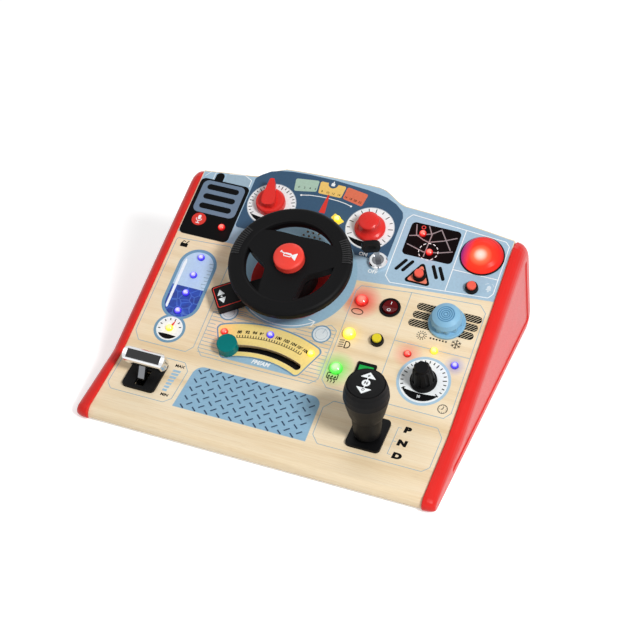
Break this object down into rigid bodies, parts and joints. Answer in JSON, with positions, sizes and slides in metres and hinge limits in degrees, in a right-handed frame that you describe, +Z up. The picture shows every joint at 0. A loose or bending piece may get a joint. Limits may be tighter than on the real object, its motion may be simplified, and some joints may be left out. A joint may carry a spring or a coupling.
{
  "type": "busy board",
  "caption": "Sloped toy dashboard between red side panels, with a steering wheel, levers, knobs, key, tuning slider, rocker switches, push buttons and lamps.",
  "frame": {"origin": "middle of the footprint on the table, under the board", "axes": "+X to the driver's right, +Y away from the driver towards the high back edge, +Z up"},
  "size_m": [0.393, 0.3784, 0.1644],
  "materials": {
    "red_shell": "bright glossy red moulding",
    "birch_face": "pale lacquered birch plywood with a printed face",
    "plain_board": "plain fibreboard",
    "black_plastic": "satin black moulding",
    "grey_plastic": "grey moulding",
    "red_plastic": "glossy red moulding",
    "sky_plastic": "glossy sky blue moulding",
    "teal_plastic": "glossy teal moulding",
    "salmon_plastic": "salmon red push cap",
    "yellow_plastic": "yellow push cap",
    "green_plastic": "clear green rocker",
    "bright_metal": "chromed",
    "steel": "plain steel",
    "green_laminate": "coated circuit laminate",
    "cell_jacket": "printed cell jacket",
    "red_lens": "clear red lens",
    "yellow_lens": "clear yellow lens",
    "green_lens": "clear green lens",
    "blue_lens": "clear blue lens"
  },
  "bodies": {
    "housing": {"left_side_panel": "red_shell", "right_side_panel": "red_shell", "face_panel": "birch_face", "base_board": "plain_board", "back_board": "plain_board", "battens": "plain_board", "screws": "steel", "battery_box": "black_plastic", "battery_door": "black_plastic", "battery_cells": "cell_jacket", "battery_contacts": "steel", "circuit_board": "green_laminate", "speaker": "black_plastic", "column_disc": "red_plastic", "column_shroud": "black_plastic", "steering_bush": "grey_plastic", "rotary_switches": "grey_plastic", "panel_nuts": "steel", "lock_barrel": "bright_metal", "slider_guide": "grey_plastic", "lever_plates": "black_plastic", "lever_brackets": "steel", "lever_axles": "steel", "rocker_housings": "black_plastic", "button_bezels": "black_plastic", "beacon_ring": "black_plastic", "beacon_dome": "red_lens", "red_lamps": "red_lens", "yellow_lamps": "yellow_lens", "green_lamp": "green_lens", "blue_lamps": "blue_lens"},
    "wheel": {"steering_wheel": "black_plastic", "steering_shaft": "steel"},
    "horn": {"horn_button": "red_plastic"},
    "stalk": {"indicator_stalk": "black_plastic"},
    "pointer": {"pointer_knob": "red_plastic", "pointer_spindle": "steel"},
    "volume": {"volume_knob": "red_plastic", "volume_spindle": "steel"},
    "fan": {"fan_knob": "sky_plastic", "fan_spindle": "steel"},
    "dial": {"dial_knob": "black_plastic", "dial_spindle": "steel"},
    "key": {"lock_plug": "bright_metal", "key_blade": "steel", "key_bow": "black_plastic"},
    "slider": {"slider_carriage": "grey_plastic", "slider_knob": "teal_plastic"},
    "throttle": {"throttle_stem": "bright_metal", "throttle_handle": "bright_metal", "throttle_insert": "black_plastic"},
    "gear": {"gear_stem": "black_plastic", "gear_knob": "black_plastic"},
    "round_rocker": {"red_rocker": "red_plastic"},
    "square_rocker": {"green_rocker": "green_plastic"},
    "hazard_cap": {"hazard_button": "salmon_plastic"},
    "siren_cap": {"siren_button": "salmon_plastic"},
    "yellow_cap": {"yellow_button": "yellow_plastic"}
  },
  "joints": [
    {"name": "wheel_turn", "type": "hinge", "parent": "housing", "child": "wheel", "pos_m": [-0.0325, 0.01407, 0.09687], "axis": [0, -0.4695, 0.8829], "range_deg": [-120, 120]},
    {"name": "horn_press", "type": "slide", "parent": "wheel", "child": "horn", "axis": [0, -0.4695, 0.8829], "range_m": [-0.003, 0], "stiffness_N_per_m": 900, "springref_m": 0.0005},
    {"name": "stalk_swing", "type": "hinge", "parent": "housing", "child": "stalk", "pos_m": [-0.0325, 0.01407, 0.09687], "axis": [0, -0.4695, 0.8829], "range_deg": [-12, 12]},
    {"name": "pointer_turn", "type": "hinge", "parent": "housing", "child": "pointer", "pos_m": [-0.0921, 0.09035, 0.13743], "axis": [0, -0.4695, 0.8829], "range_deg": [-120, 120]},
    {"name": "volume_turn", "type": "hinge", "parent": "housing", "child": "volume", "pos_m": [0.0255, 0.08823, 0.1363], "axis": [0, -0.4695, 0.8829], "range_deg": [-140, 140]},
    {"name": "fan_turn", "type": "hinge", "parent": "housing", "child": "fan", "pos_m": [0.142, 0.00789, 0.09358], "axis": [0, -0.4695, 0.8829], "range_deg": [-120, 120]},
    {"name": "dial_turn", "type": "hinge", "parent": "housing", "child": "dial", "pos_m": [0.139, -0.05568, 0.05978], "axis": [0, -0.4695, 0.8829], "range_deg": [-135, 135]},
    {"name": "key_turn", "type": "hinge", "parent": "housing", "child": "key", "pos_m": [0.048, 0.05424, 0.11823], "axis": [0, -0.4695, 0.8829], "range_deg": [0, 90]},
    {"name": "slider_run", "type": "hinge", "parent": "housing", "child": "slider", "pos_m": [-0.0345, -0.16517, 0.00157], "axis": [0, -0.4695, 0.8829], "range_deg": [-41, 1]},
    {"name": "throttle_swing", "type": "hinge", "parent": "housing", "child": "throttle", "pos_m": [-0.145, -0.12834, 0.01426], "axis": [1, 0, 0], "range_deg": [-18, 18]},
    {"name": "gear_swing", "type": "hinge", "parent": "housing", "child": "gear", "pos_m": [0.1045, -0.12446, 0.01523], "axis": [1, 0, 0], "range_deg": [-10, 10]},
    {"name": "round_rocker_tilt", "type": "hinge", "parent": "housing", "child": "round_rocker", "pos_m": [0.078, 0.01059, 0.09276], "axis": [1, 0, 0], "range_deg": [0, 16]},
    {"name": "square_rocker_tilt", "type": "hinge", "parent": "housing", "child": "square_rocker", "pos_m": [0.077, -0.06358, 0.05332], "axis": [1, 0, 0], "range_deg": [0, 16]},
    {"name": "hazard_press", "type": "slide", "parent": "housing", "child": "hazard_cap", "axis": [0, -0.4695, 0.8829], "range_m": [-0.0025, 0], "stiffness_N_per_m": 300, "springref_m": 0.0005},
    {"name": "siren_press", "type": "slide", "parent": "housing", "child": "siren_cap", "axis": [0, -0.4695, 0.8829], "range_m": [-0.0025, 0], "stiffness_N_per_m": 300, "springref_m": 0.0005},
    {"name": "yellow_press", "type": "slide", "parent": "housing", "child": "yellow_cap", "axis": [0, -0.4695, 0.8829], "range_m": [-0.0025, 0], "stiffness_N_per_m": 300, "springref_m": 0.0005}
  ]
}
